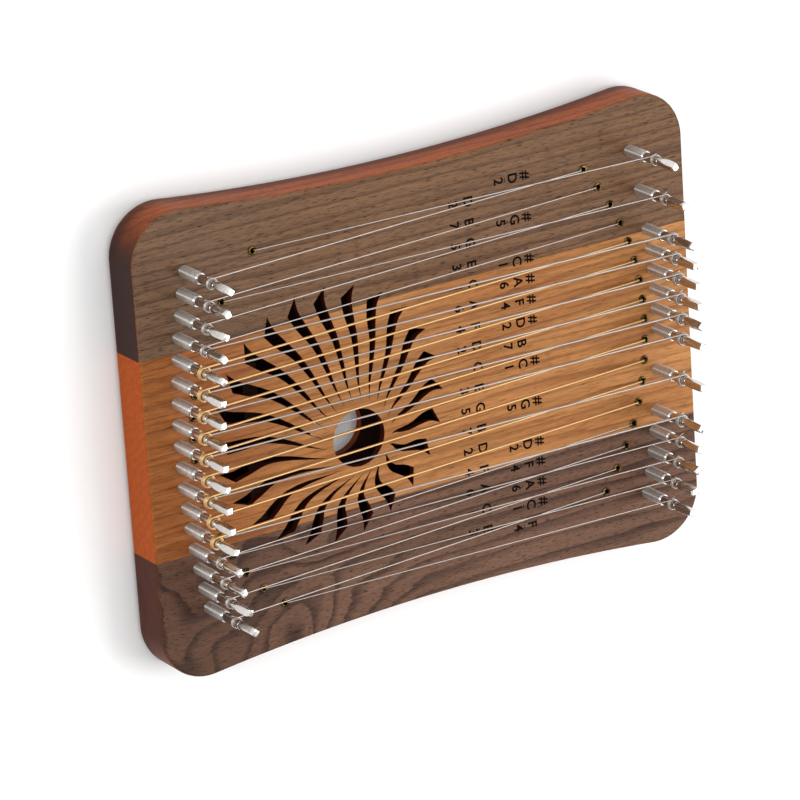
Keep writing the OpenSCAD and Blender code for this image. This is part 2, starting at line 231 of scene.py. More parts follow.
def wood(name, face, patch_and_shade, side, side_low_shade, end, line, heart, ring_mm, ring_show, crotch_mm, pore_mm,
         pore_show, dullness, shine, plank):
    """Wood cut along X, with rings round heart = (y, z) in millimetres, bent round a crotch by crotch_mm.

    face and patch_and_shade colour the broad face: patch_and_shade in random patches, and towards the left
    end as painted shade. side and side_low_shade colour the long walls, side_low_shade towards the back as
    painted shade, end the end walls, and line the rings. pore_mm is a pore's length and width, and plank
    picks a place in the noise, like another plank.
    Each vector of fractions is 1 over a pattern's size in millimetres along, across and through the plank.
    """
    made, tree, out = new_material(name)
    place = add_node(tree, "ShaderNodeTexCoord")
    grain = add_node(tree, "ShaderNodeVectorMath", {0: place.outputs["Object"], "Scale": 1000.0},
                     operation="SCALE")
    at = add_node(tree, "ShaderNodeSeparateXYZ", {"Vector": grain.outputs[0]})
    facing = add_node(tree, "ShaderNodeSeparateXYZ", {"Vector": place.outputs["Normal"]})

    # growth rings: distance from the heart, drifting slowly along the plank, with a shiver at the line
    across = add_node(tree, "ShaderNodeMath", {0: at.outputs["Y"], 1: heart[0]}, operation="SUBTRACT")
    deep = add_node(tree, "ShaderNodeMath", {0: at.outputs["Z"], 1: heart[1]}, operation="SUBTRACT")
    across2 = add_node(tree, "ShaderNodeMath", {0: across.outputs[0], 1: 2.0}, operation="POWER")
    reach2 = add_node(tree, "ShaderNodeMath", {
        0: deep.outputs[0], 1: deep.outputs[0], 2: across2.outputs[0]}, operation="MULTIPLY_ADD")
    reach = add_node(tree, "ShaderNodeMath", {0: reach2.outputs[0]}, operation="SQRT")
    slow = add_node(tree, "ShaderNodeVectorMath", {0: grain.outputs[0], 1: (1 / 170, 1 / 11, 1 / 16)},
                    operation="MULTIPLY")
    drift = add_node(tree, "ShaderNodeTexNoise", {
        "Vector": slow.outputs[0], "W": plank, "Scale": 1.0, "Detail": 2.0, "Roughness": 0.5},
        noise_dimensions="4D")
    drifted = add_node(tree, "ShaderNodeMath", {
        0: drift.outputs["Fac"], 1: 3.2 * ring_mm, 2: reach.outputs[0]}, operation="MULTIPLY_ADD")
    swirl_at = add_node(tree, "ShaderNodeVectorMath", {0: grain.outputs[0], 1: (1 / 44, 1 / 36, 1 / 36)},
                        operation="MULTIPLY")
    swirl = add_node(tree, "ShaderNodeTexNoise", {
        "Vector": swirl_at.outputs[0], "W": plank, "Scale": 1.0, "Detail": 1.5, "Roughness": 0.4},
        noise_dimensions="4D")
    crotch_at, crotch_r, crotch_core_r = (-108.0, -104.0, 24.0), 105.0, 30.0
    crotch = add_node(tree, "ShaderNodeVectorMath", {0: grain.outputs[0], 1: crotch_at},
                      operation="DISTANCE")
    near = add_node(tree, "ShaderNodeMapRange", {
        "Value": crotch.outputs["Value"], "From Min": crotch_r, "From Max": crotch_core_r,
        "To Max": crotch_mm},
        interpolation_type="SMOOTHSTEP")
    calm = add_node(tree, "ShaderNodeMapRange", {
        "Value": near.outputs[0], "From Max": max(crotch_mm, 1.0), "To Min": 1.0, "To Max": 0.12})
    centred = add_node(tree, "ShaderNodeMath", {0: drifted.outputs[0], 1: 90.0}, operation="SUBTRACT")
    calmed = add_node(tree, "ShaderNodeMath", {0: centred.outputs[0], 1: calm.outputs[0]},
                      operation="MULTIPLY")
    warped = add_node(tree, "ShaderNodeMath", {
        0: swirl.outputs["Fac"], 1: near.outputs[0], 2: calmed.outputs[0]}, operation="MULTIPLY_ADD")
    jitter = add_node(tree, "ShaderNodeVectorMath", {0: grain.outputs[0], 1: (1 / 24, 1 / 1.6, 1 / 1.6)},
                      operation="MULTIPLY")
    shiver = add_node(tree, "ShaderNodeTexNoise", {"Vector": jitter.outputs[0], "Scale": 1.0, "Detail": 3.0})
    shaken = add_node(tree, "ShaderNodeMath", {
        0: shiver.outputs["Fac"], 1: ring_mm * 0.35, 2: warped.outputs[0]}, operation="MULTIPLY_ADD")
    phase = add_node(tree, "ShaderNodeMath", {0: shaken.outputs[0], 1: ring_mm}, operation="DIVIDE")
    year = add_node(tree, "ShaderNodeMath", {0: phase.outputs[0]}, operation="FRACT")
    line_up = add_node(tree, "ShaderNodeMapRange", {
        "Value": year.outputs[0], "From Min": 0.4, "From Max": 0.9}, interpolation_type="SMOOTHSTEP")
    line_down = add_node(tree, "ShaderNodeMapRange", {
        "Value": year.outputs[0], "From Min": 0.9, "From Max": 1.0, "To Min": 1.0, "To Max": 0.0},
        interpolation_type="SMOOTHSTEP")
    late = add_node(tree, "ShaderNodeMath", {0: line_up.outputs[0], 1: line_down.outputs[0]},
                    operation="MULTIPLY")

    # streaks about 2 mm wide, fibres about 0.5 mm wide, and pores. Fibres and pores are drawn about twice
    # as wide as real, because finer ones would not show
    streak_at = add_node(tree, "ShaderNodeVectorMath", {0: grain.outputs[0], 1: (1 / 75, 1 / 2.4, 1 / 2.4)},
                         operation="MULTIPLY")
    streak = add_node(tree, "ShaderNodeTexNoise", {
        "Vector": streak_at.outputs[0], "W": plank, "Scale": 1.0, "Detail": 3.0, "Roughness": 0.6},
        noise_dimensions="4D")
    fibre_at = add_node(tree, "ShaderNodeVectorMath", {0: grain.outputs[0], 1: (1 / 12, 1 / 0.55, 1 / 0.55)},
                        operation="MULTIPLY")
    fibre = add_node(tree, "ShaderNodeTexNoise", {
        "Vector": fibre_at.outputs[0], "Scale": 1.0, "Detail": 4.0, "Roughness": 0.62})
    pore_at = add_node(tree, "ShaderNodeVectorMath", {
        0: grain.outputs[0], 1: (1 / pore_mm[0], 1 / pore_mm[1], 1 / pore_mm[1])}, operation="MULTIPLY")
    pore_noise = add_node(tree, "ShaderNodeTexNoise", {
        "Vector": pore_at.outputs[0], "Scale": 1.0, "Detail": 1.0, "Roughness": 0.5})
    pore = add_node(tree, "ShaderNodeMapRange", {
        "Value": pore_noise.outputs["Fac"], "From Min": 0.56, "From Max": 0.70},
        interpolation_type="SMOOTHSTEP")

    # colour: the face in two tones, then the walls, then rings, streaks, fibres and pores over both
    wide_at = add_node(tree, "ShaderNodeVectorMath", {0: grain.outputs[0], 1: (1 / 80, 1 / 12, 1 / 12)},
                       operation="MULTIPLY")
    wide = add_node(tree, "ShaderNodeTexNoise", {
        "Vector": wide_at.outputs[0], "W": plank, "Scale": 1.0, "Detail": 2.0, "Roughness": 0.5},
        noise_dimensions="4D")
    tint = add_node(tree, "ShaderNodeMapRange", {
        "Value": wide.outputs["Fac"], "From Min": 0.38, "From Max": 0.64, "To Max": 0.5})
    # painted shade: the face takes the darker patch_and_shade tone more and more towards the left end
    left_end_shade = add_node(tree, "ShaderNodeMapRange", {
        "Value": at.outputs["X"], "From Min": -25.0, "From Max": -125.0}, interpolation_type="SMOOTHSTEP")
    toned_with_shade = add_node(tree, "ShaderNodeMath", {0: tint.outputs[0], 1: left_end_shade.outputs[0]},
                     operation="MAXIMUM")
    face_tone_and_shade = add_node(tree, "ShaderNodeMix", {
        "Factor": toned_with_shade.outputs[0], "A": linear(face), "B": linear(patch_and_shade)}, data_type="RGBA")
    # painted shade: the long walls darken towards the back, from side to side_low_shade
    low_side_shade = add_node(tree, "ShaderNodeMapRange", {
        "Value": at.outputs["Z"], "From Min": 14.0, "From Max": 7.0}, interpolation_type="SMOOTHSTEP")
    side_tone_and_shade = add_node(tree, "ShaderNodeMix", {
        "Factor": low_side_shade.outputs[0], "A": linear(side), "B": linear(side_low_shade)}, data_type="RGBA")
    end_share = add_node(tree, "ShaderNodeMath", {0: facing.outputs["X"], 1: 2.0}, operation="POWER")
    wall_tone_and_shade = add_node(tree, "ShaderNodeMix", {
        "Factor": end_share.outputs[0], "A": side_tone_and_shade.outputs["Result"], "B": linear(end)},
        data_type="RGBA")
    level = add_node(tree, "ShaderNodeMath", {0: facing.outputs["Z"]}, operation="ABSOLUTE")
    wall_share = add_node(tree, "ShaderNodeMapRange", {
        "Value": level.outputs[0], "From Min": 0.78, "From Max": 0.3}, interpolation_type="SMOOTHSTEP")
    base = add_node(tree, "ShaderNodeMix", {
        "Factor": wall_share.outputs[0], "A": face_tone_and_shade.outputs["Result"], "B": wall_tone_and_shade.outputs["Result"]},
        data_type="RGBA")
    ring_part = add_node(tree, "ShaderNodeMapRange", {
        "Value": streak.outputs["Fac"], "From Min": 0.3, "From Max": 0.7, "To Min": 0.4 * ring_show,
        "To Max": 1.2 * ring_show})
    plain_end = add_node(tree, "ShaderNodeMapRange", {
        "Value": end_share.outputs[0], "To Min": 1.0, "To Max": 0.4})
    ring_faded = add_node(tree, "ShaderNodeMath", {0: ring_part.outputs[0], 1: plain_end.outputs[0]},
                          operation="MULTIPLY")
    ring_share = add_node(tree, "ShaderNodeMath", {0: late.outputs[0], 1: ring_faded.outputs[0]},
                          operation="MULTIPLY")
    ringed = add_node(tree, "ShaderNodeMix", {
        "Factor": ring_share.outputs[0], "A": base.outputs["Result"], "B": linear(line)},
        data_type="RGBA", blend_type="MULTIPLY")
    band = add_node(tree, "ShaderNodeMapRange", {
        "Value": streak.outputs["Fac"], "From Min": 0.3, "From Max": 0.7, "To Min": 0.84, "To Max": 1.16})
    thread = add_node(tree, "ShaderNodeMapRange", {
        "Value": fibre.outputs["Fac"], "From Min": 0.3, "From Max": 0.7, "To Min": 0.82, "To Max": 1.18})
    weave = add_node(tree, "ShaderNodeMath", {0: band.outputs[0], 1: thread.outputs[0]},
                     operation="MULTIPLY")
    fibred = add_node(tree, "ShaderNodeVectorMath", {0: ringed.outputs["Result"], 1: weave.outputs[0]},
                      operation="MULTIPLY")
    pore_share = add_node(tree, "ShaderNodeMath", {0: pore.outputs[0], 1: pore_show}, operation="MULTIPLY")
    finish = add_node(tree, "ShaderNodeMix", {
        "Factor": pore_share.outputs[0], "A": fibred.outputs[0], "B": linear("#45332c")},
        data_type="RGBA", blend_type="MULTIPLY")
    height = add_node(tree, "ShaderNodeMath", {
        0: pore.outputs[0], 1: -1.0, 2: fibre.outputs["Fac"]}, operation="MULTIPLY_ADD")
    pore_deep = 0.04
    relief = add_node(tree, "ShaderNodeBump", {
        "Height": height.outputs[0], "Distance": pore_deep * mm, "Strength": 0.5})
    dull = add_node(tree, "ShaderNodeMapRange", {
        "Value": fibre.outputs["Fac"], "From Min": 0.3, "From Max": 0.7,
        "To Min": dullness - 0.05, "To Max": dullness + 0.08})
    board = add_node(tree, "ShaderNodeBsdfPrincipled", {
        "Base Color": finish.outputs["Result"], "Roughness": dull.outputs[0], "Specular IOR Level": shine,
        "Normal": relief.outputs["Normal"]})
    tree.links.new(board.outputs[0], out.inputs["Surface"])
    return made


walnut_upper = wood(
    "american_walnut_oiled_upper", face="#725136", patch_and_shade="#6d513b", side="#95440c", side_low_shade="#5f2809",
    end="#2d1006", line="#8a6e62", heart=(190, -40), ring_mm=4.6, ring_show=0.6, crotch_mm=0.0,
    pore_mm=(5.0, 0.38), pore_show=0.8, dullness=0.52, shine=0.17, plank=1.7)
walnut_lower = wood(
    "american_walnut_oiled_lower", face="#6f4f3d", patch_and_shade="#583c2c", side="#95440c", side_low_shade="#5f2809",
    end="#4a1c09", line="#5f443a", heart=(-170, -26), ring_mm=6.0, ring_show=0.8, crotch_mm=60.0,
    pore_mm=(3.5, 0.38), pore_show=0.8, dullness=0.54, shine=0.18, plank=5.3)
cherry_centre = wood(
    "american_cherry_oiled", face="#b57d48", patch_and_shade="#95582a", side="#9a531f", side_low_shade="#7a3f1a",
    end="#a54600", line="#8d6a50", heart=(-130, 120), ring_mm=4.2, ring_show=0.5, crotch_mm=0.0,
    pore_mm=(6.0, 0.34), pore_show=0.45, dullness=0.48, shine=0.13, plank=3.1)


def bare_wood(name, colour, roughness):
    """Wood as the tool left it: routed, drilled or burnt by the laser, without oil. Dull and fuzzy."""
    made, tree, out = new_material(name)
    place = add_node(tree, "ShaderNodeTexCoord")
    streak_at = add_node(tree, "ShaderNodeVectorMath", {
        0: place.outputs["Object"], 1: (90, 900, 900)}, operation="MULTIPLY")
    streak = add_node(tree, "ShaderNodeTexNoise", {
        "Vector": streak_at.outputs[0], "Scale": 1.0, "Detail": 4.0})
    share = add_node(tree, "ShaderNodeMapRange", {
        "Value": streak.outputs["Fac"], "From Min": 0.3, "From Max": 0.7, "To Min": 0.6, "To Max": 1.3})
    shade = add_node(tree, "ShaderNodeVectorMath", {0: linear(colour)[:3], 1: share.outputs[0]},
                     operation="MULTIPLY")
    fuzz_deep = 0.1
    fuzz = add_node(tree, "ShaderNodeBump", {"Height": streak.outputs["Fac"], "Distance": fuzz_deep * mm})
    dusty = add_node(tree, "ShaderNodeBsdfPrincipled", {
        "Base Color": shade.outputs[0], "Roughness": roughness, "Specular IOR Level": 0.08,
        "Normal": fuzz.outputs["Normal"]})
    tree.links.new(dusty.outputs[0], out.inputs["Surface"])
    return made


# painted shade: the routed chamber and the faces hidden inside the body are coloured nearly black, for the
# dim inside of the closed body
chamber_shade_wood = bare_wood("routed_walnut_painted_shade", "#1e0b07", 0.8)
burnt_wood = bare_wood("laser_cut_wood_burnt", "#3f150b", 0.75)

# ---- chamber, rosette, sound hole and drilled holes ----------
# The front is hollowed from behind, leaving a thin soundboard. A laser cuts the flames and the sound
# hole through it, and the holes for pins, grommets and ferrules are drilled.
hole_r = 13.8


def solids_across(node):
    """Lowest and highest corner, in millimetres, of each solid of a node whose solids stand apart in Y."""
    points = sorted(((v.co / mm).copy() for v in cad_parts[node].data.vertices), key=lambda p: p.y)
    groups = [[points[0]]]
    for p in points[1:]:
        if p.y - groups[-1][-1].y > 1.0:
            groups.append([])
        groups[-1].append(p)
    return [(Vector(map(min, *g)), Vector(map(max, *g))) for g in reversed(groups)]


def centres(node):
    """Middle of each solid of a node, from the upper long side down."""
    return [(low + high) / 2 for low, high in solids_across(node)]


right_holes = centres("right_grommets")
left_holes = centres("left_grommets")
left_pin_names = [n for n in sorted(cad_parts) if n.startswith("pin_left")]
right_pin_names = [n for n in sorted(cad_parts) if n.startswith("pin_right")]
pin_box = {n: [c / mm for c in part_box(n)] for n in left_pin_names + right_pin_names}
left_pins = [sum(pin_box[n], Vector()) / 2 for n in left_pin_names]
right_pins = [sum(pin_box[n], Vector()) / 2 for n in right_pin_names]

left_arc_r, right_arc_r = 112.0, 127.0
# no left hole stands on the middle line, so the row's curve goes a little further out than its holes
left_row_sag = 0.05
middle_left_hole_x = min(p.x for p in left_holes) - left_row_sag
middle_right_hole_x = max(p.x for p in right_holes)
rosette_at = Vector((-53.0, -3.0))
hole_at = rosette_at + Vector((14.6, -14.4))
rosette_r, flame_count, flame_root_gap = 61.4, 24, 3.4
flame_phase, flame_shift, flame_steps, flame_corner = -1.9, 1.7, 28, 0.86
# the two edges of a flame are turned by these angles on the way out: share of the way, degrees
leading_turn = [(0, 7.5), (0.15, 3), (0.3, -1), (0.5, -2.4), (0.7, -0.5), (0.85, 0.8), (1, 0)]
trailing_turn = [(0, 7.5), (0.15, 5.5), (0.3, 3.2), (0.5, 2.7), (0.7, 5.9), (0.86, 7)]


def turn_at(table, s):
    """Smooth curve through the table's angles."""
    k = max(i for i, row in enumerate(table[:-1]) if row[0] <= s + 1e-9)
    slope = []
    for i in (k, k + 1):
        low, high = table[max(i - 1, 0)], table[min(i + 1, len(table) - 1)]
        slope.append((high[1] - low[1]) / (high[0] - low[0]))
    (s0, a0), (s1, a1) = table[k], table[k + 1]
    t, span = (s - s0) / (s1 - s0), s1 - s0
    return ((2 * t ** 3 - 3 * t ** 2 + 1) * a0 + (t ** 3 - 2 * t ** 2 + t) * span * slope[0]
            + (3 * t ** 2 - 2 * t ** 3) * a1 + (t ** 3 - t ** 2) * span * slope[1])


def flame_point(s, degrees):
    """A point that goes out from the sound hole's ring to the rosette's circle as s goes from 0 to 1."""
    shift = 1 - (1 - s) ** flame_shift
    reach = hole_r + flame_root_gap + (rosette_r - hole_r - flame_root_gap) * s
    middle = hole_at.lerp(rosette_at, shift)
    a = math.radians(degrees)
    return middle.x + reach * math.cos(a), middle.y + reach * math.sin(a)


def flame(phase):
    """Outline of one flame: out along its leading edge, back along its trailing edge."""
    out_way = [i / flame_steps for i in range(flame_steps + 1)]
    back_way = [flame_corner * (flame_steps - i) / flame_steps for i in range(flame_steps)]
    return ([flame_point(s, phase + turn_at(leading_turn, s)) for s in out_way]
            + [flame_point(s, phase + turn_at(trailing_turn, s)) for s in back_way])


def prism(bm, points, low, high, material_index=0):
    """Upright block between two heights over an outline of either hand."""
    area = sum(a[0] * b[1] - b[0] * a[1] for a, b in zip(points, points[1:] + points[:1]))
    turned = points if area > 0 else points[::-1]
    loft(bm, [[(x, y, z) for x, y in turned] for z in (low, high)], material_index)


def circle(at, r, steps=48):
    """Points round a circle."""
    return [(at[0] + r * math.cos(2 * math.pi * i / steps), at[1] + r * math.sin(2 * math.pi * i / steps))
            for i in range(steps)]


def carve(piece, tool, operation="DIFFERENCE"):
    """One exact Boolean, applied. The new faces keep the tool's own material."""
    step = piece.modifiers.new("carve", "BOOLEAN")
    step.operation, step.solver, step.object = operation, "EXACT", tool
    step.material_mode = "TRANSFER"
    after = bpy.data.meshes.new_from_object(piece.evaluated_get(bpy.context.evaluated_depsgraph_get()))
    piece.modifiers.clear()
    piece.data = after


pin_hole_r, pin_in = 2.8, 17.5
grommet_hole_r, grommet_in, way_r = 1.62, 5.02, 1.15
ferrule_hole_r, ferrule_in = 3.02, 7.02
chamber_top = body_t - board_t
end_steps, hole_steps, drill_steps = 96, 128, 32
# well past every edge of the body
far = 400

bm = bmesh.new()
prism(bm, outline(rim_w), back_t - 1, chamber_top)
chamber_tool = new_piece("chamber_tool", bm, [chamber_shade_wood], 1)
for x, r, out_way in ((middle_left_hole_x + left_arc_r, left_arc_r - block_margin, -1),
                      (middle_right_hole_x - right_arc_r, right_arc_r - block_margin, 1)):
    round_end = [(x + out_way * r * math.cos(a), r * math.sin(a))
                 for a in (math.radians(-90 + 180 * i / end_steps) for i in range(end_steps + 1))]
    bm = bmesh.new()
    prism(bm, round_end + [(x - out_way * far, r), (x - out_way * far, -r)], back_t - 2, body_t)
    end_tool = new_piece("end_tool", bm, [chamber_shade_wood], 1)
    carve(chamber_tool, end_tool, "INTERSECT")
    bpy.data.objects.remove(end_tool)
bm = bmesh.new()
for k in range(flame_count):
    prism(bm, flame(flame_phase + 360 * k / flame_count), chamber_top - 1, body_t + 1)
prism(bm, circle(hole_at, hole_r, hole_steps), chamber_top - 1, body_t + 1)
flame_tool = new_piece("flame_tool", bm, [burnt_wood], 1)
bm = bmesh.new()
prism(bm, circle(hole_at, hole_r, hole_steps), -1, back_t + 1)
hole_tool = new_piece("hole_tool", bm, [cherry_centre], 1)
bm = bmesh.new()
for p in left_pins + right_pins:
    prism(bm, circle(p, pin_hole_r), body_t - pin_in, body_t + 1)
for p in right_holes + left_holes:
    steps = [(-1, ferrule_hole_r), (ferrule_in, ferrule_hole_r), (ferrule_in, way_r),
             (body_t - grommet_in, way_r), (body_t - grommet_in, grommet_hole_r),
             (body_t + 1, grommet_hole_r)]
    loft(bm, [[(x, y, z) for x, y in circle(p, r, drill_steps)] for z, r in steps])
drill_tool = new_piece("drill_tool", bm, [burnt_wood], 1)


def stave(name, node, finish, y_range, z_range):
    """One stave of the front or of the back, sawn from the blank, hollowed, pierced and drilled."""
    bm = bmesh.new()
    loft(bm, [[(x, y, z) for x, y in outline(inset)] for z, inset in blank_rings])
    piece = new_piece(name, bm, [finish], 1)
    bm = bmesh.new()
    prism(bm, [(-far, y_range[0]), (far, y_range[0]), (far, y_range[1]), (-far, y_range[1])], *z_range)
    saw = new_piece("saw", bm, [chamber_shade_wood], 1)
    carve(piece, saw, "INTERSECT")
    for tool in ([chamber_tool, flame_tool] if z_range[0] > 0 else [hole_tool]) + [drill_tool]:
        carve(piece, tool)
    bpy.data.objects.remove(saw)
    piece.data.transform(Matrix.Scale(mm, 4))
    soften(piece, 25)
    even = piece.modifiers.new("even_normals", "WEIGHTED_NORMAL")
    even.keep_sharp = True
    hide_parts(node)
    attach(piece, "body")
    return piece


for side, finish, slot, y_range in (("walnut_upper", walnut_upper, "walnut", (stave_top, far)),
                                    ("cherry_centre", cherry_centre, "cherry", (stave_bottom, stave_top)),
                                    ("walnut_lower", walnut_lower, "walnut", (-far, stave_bottom))):
    stave("front_stave_" + side, "front_" + side, finish, y_range, (back_t, far))
    stave("back_stave_" + side, "back_" + side, finish, y_range, (-far, back_t))
for tool in (chamber_tool, flame_tool, hole_tool, drill_tool):
    bpy.data.objects.remove(tool)

# ---- braces --------------------------------------------------
# Split spruce bars, planed and glued across the back and under the soundboard. Their colour is a dark
# brown as painted shade, as dark as the chamber, which leaves only a dull brown grain to see through the
# slots.
spruce = wood(
    "european_spruce_painted_shade", face="#3b2414", patch_and_shade="#301c0f", side="#3b2414", side_low_shade="#301c0f",
    end="#2a180d", line="#8a7060", heart=(90, 60), ring_mm=2.0, ring_show=0.6, crotch_mm=0.0,
    pore_mm=(9.0, 0.3), pore_show=0.15, dullness=0.7, shine=0.1, plank=7.0)
for node in ("back_brace_left", "back_brace_right", "board_brace"):
    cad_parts[node].data.materials.clear()
    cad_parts[node].data.materials.append(spruce)

# ---- grommets ------------------------------------------------
# Turned brass eyelets pressed into the front, with a rolled lip that the string bends over. Brass that
# has been handled is a warm brown gold, dull in the corners and bright on the lip.


def turned_metal(name, colour, dark, roughness, groove_mm):
    """Metal from a lathe: faint tool rings up the length and darker tarnish in soft patches."""
    made, tree, out = new_material(name)
    place = add_node(tree, "ShaderNodeTexCoord")
    at = add_node(tree, "ShaderNodeSeparateXYZ", {"Vector": place.outputs["Object"]})
    turns = add_node(tree, "ShaderNodeMath", {
        0: at.outputs["Z"], 1: 2 * math.pi * 1000 / groove_mm}, operation="MULTIPLY")
    rings = add_node(tree, "ShaderNodeMath", {0: turns.outputs[0]}, operation="SINE")
    cloud = add_node(tree, "ShaderNodeTexNoise", {
        "Vector": place.outputs["Object"], "Scale": 700.0, "Detail": 3.0})
    stain = add_node(tree, "ShaderNodeMapRange", {
        "Value": cloud.outputs["Fac"], "From Min": 0.36, "From Max": 0.62})
    tone = add_node(tree, "ShaderNodeMix", {
        "Factor": stain.outputs[0], "A": linear(colour), "B": linear(dark)}, data_type="RGBA")
    dull = add_node(tree, "ShaderNodeMapRange", {
        "Value": stain.outputs[0], "To Min": roughness, "To Max": roughness + 0.18})
    groove_deep = 0.008
    tool_marks = add_node(tree, "ShaderNodeBump", {
        "Height": rings.outputs[0], "Distance": groove_deep * mm, "Strength": 0.5})
    metal = add_node(tree, "ShaderNodeBsdfPrincipled", {
        "Base Color": tone.outputs["Result"], "Metallic": 1.0, "Roughness": dull.outputs[0],
        "Normal": tool_marks.outputs["Normal"]})
    tree.links.new(metal.outputs[0], out.inputs["Surface"])
    return made


grommet_brass = turned_metal(
    "brass_turned_handled", colour="#735c31", dark="#241a0c", roughness=0.34, groove_mm=0.25)
lip_r, bore_r, barrel_r, barrel_l = 2.15, 1.15, 1.6, 5.0
lip_t = 0.6


def lathe(bm, at, profile, steps=40):
    """Solid or ring turned round a vertical axis through at. A closed profile makes a ring."""
    closed = profile[0] == profile[-1]
    rows = []
    for r, z in profile[:-1] if closed else profile:
        if r < 1e-6:
            rows.append([bm.verts.new((at[0], at[1], z))])
        else:
            rows.append([bm.verts.new((x, y, z)) for x, y in circle(at, r, steps)])
    pairs = list(zip(rows, rows[1:])) + ([(rows[-1], rows[0])] if closed else [])
    for low, high in pairs:
        for i in range(steps):
            j = (i + 1) % steps
            corners = [low[i % len(low)], low[j % len(low)], high[j % len(high)], high[i % len(high)]]
            bm.faces.new(list(dict.fromkeys(corners)))
    bmesh.ops.recalc_face_normals(bm, faces=bm.faces)


def arc(cx, cz, r, start, end, steps=5):
    """Points of a quarter or half round in a lathe profile, angles in degrees."""
    turn = [math.radians(start + (end - start) * i / steps) for i in range(steps + 1)]
    return [(cx + r * math.cos(a), cz + r * math.sin(a)) for a in turn]


lip_round = lip_t / 2
grommet_profile = [(bore_r, body_t - barrel_l), (barrel_r, body_t - barrel_l), (barrel_r, body_t)]
grommet_profile += arc(lip_r - lip_round, body_t + lip_round, lip_round, -90, 90)
grommet_profile += arc(bore_r + lip_round, body_t + lip_round, lip_round, 90, 180)
grommet_profile += [(bore_r, body_t - barrel_l)]
for node, holes in (("right_grommets", right_holes), ("left_grommets", left_holes)):
    bm = bmesh.new()
    for p in holes:
        lathe(bm, p, grommet_profile)
    eyelets = new_piece("eyelets_" + node.split("_")[0], bm, [grommet_brass])
    soften(eyelets, 40)
    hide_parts(node)
    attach(eyelets, "body")

# ---- ferrules and ball ends ----------------------------------
# Brass cups pressed flush into the back. Each holds the small brass spool that the string is looped
# round, so that the pull of the string seats it against the cup's shoulder.
ferrule_r, cup_r, ferrule_l, shoulder_t = 3.0, 2.1, 7.0, 2.0
mouth = 0.35
ferrule_profile = [(cup_r + mouth, 0), (ferrule_r - 0.15, 0), (ferrule_r, 0.15), (ferrule_r, ferrule_l),
                   (bore_r, ferrule_l), (bore_r, ferrule_l - shoulder_t), (cup_r, ferrule_l - shoulder_t),
                   (cup_r, mouth), (cup_r + mouth, 0)]
ball_r, ball_low, ball_high, ball_way_r = 1.9, 1.15, 4.95, 0.6
ball_edge_r, groove_r, groove_steps = 0.3, 0.8, 8
waist = (ball_low + ball_high) / 2
rim_r = ball_r - ball_edge_r
spool_profile = [(ball_way_r, ball_low), (rim_r, ball_low)]
spool_profile += arc(rim_r, ball_low + ball_edge_r, ball_edge_r, -90, 0)
spool_profile += arc(ball_r, waist, groove_r, -90, -270, groove_steps)
spool_profile += arc(rim_r, ball_high - ball_edge_r, ball_edge_r, 0, 90) + [(ball_way_r, ball_high)]
spool_profile += [(ball_way_r, ball_low)]
for side, holes in (("right", right_holes), ("left", left_holes)):
    for kind, profile in (("ferrules", ferrule_profile), ("ball_ends", spool_profile)):
        bm = bmesh.new()
        for p in holes:
            lathe(bm, p, profile)
        turned = new_piece("brass_" + kind + "_" + side, bm, [grommet_brass])
        soften(turned, 40)
        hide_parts(side + "_" + kind)
        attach(turned, "body")

# ---- tuning pins ---------------------------------------------
# Steel, nickel-plated. The shank carries a fine rolled thread that grips the wood and shows as a satin
# band, the neck is turned thinner and polished, and the square head tapers for the tuning wrench.


def nickel(name, bright, dim, roughness, along, thread_mm, thread_deep):
    """Nickel plate, a clean warm white metal. The thread is a helix in relief, and spreads light along Z."""
    made, tree, out = new_material(name)
    place = add_node(tree, "ShaderNodeTexCoord")
    unrolled = add_node(tree, "ShaderNodeUVMap", uv_map="turn")
    at = add_node(tree, "ShaderNodeSeparateXYZ", {"Vector": unrolled.outputs[0]})
    up = add_node(tree, "ShaderNodeMath", {0: at.outputs["Y"], 1: 1 / thread_mm, 2: at.outputs["X"]},
                  operation="MULTIPLY_ADD")
    turns = add_node(tree, "ShaderNodeMath", {0: up.outputs[0], 1: 2 * math.pi}, operation="MULTIPLY")
    thread = add_node(tree, "ShaderNodeMath", {0: turns.outputs[0]}, operation="SINE")
    smear_mm = 2.0
    handling = add_node(tree, "ShaderNodeTexNoise", {
        "Vector": place.outputs["Object"], "Scale": 1000 / smear_mm, "Detail": 3.0})
    dull = add_node(tree, "ShaderNodeMapRange", {
        "Value": handling.outputs["Fac"], "From Min": 0.35, "From Max": 0.7,
        "To Min": roughness, "To Max": roughness + 0.06})
    tone = add_node(tree, "ShaderNodeMix", {
        "Factor": handling.outputs["Fac"], "A": linear(bright), "B": linear(dim)}, data_type="RGBA")
    relief = add_node(tree, "ShaderNodeBump", {
        "Height": thread.outputs[0], "Distance": thread_deep * mm, "Strength": 1.0})
    round_pin = add_node(tree, "ShaderNodeTangent", direction_type="RADIAL", axis="Z")
    metal = add_node(tree, "ShaderNodeBsdfPrincipled", {
        "Base Color": tone.outputs["Result"], "Metallic": 1.0, "Roughness": dull.outputs[0],
        "Anisotropic": along, "Anisotropic Rotation": 0.25, "Tangent": round_pin.outputs[0],
        "Normal": relief.outputs["Normal"]})
    tree.links.new(metal.outputs[0], out.inputs["Surface"])
    return made


nickel_threaded = nickel("steel_nickel_plated_threaded", "#f2f0ec", "#b0aba5", roughness=0.38,
                         along=0.9, thread_mm=0.5, thread_deep=0.012)
nickel_polished = nickel("steel_nickel_plated_polished", "#e2e0dc", "#bfbab4", roughness=0.16,
                         along=0.0, thread_mm=0.25, thread_deep=0.001)
shank_r, neck_r, head_l, pin_below = 2.75, 2.2, 12.5, 17.0
tip_r, tip_edge_r, tip_l = 1.6, 1.95, 0.8
bevel_l, bevel_w, fillet = 0.35, 0.3, 0.2
head_half_low, head_half_top = 2.08, 1.65
pin_steps, head_rings = 48, 6


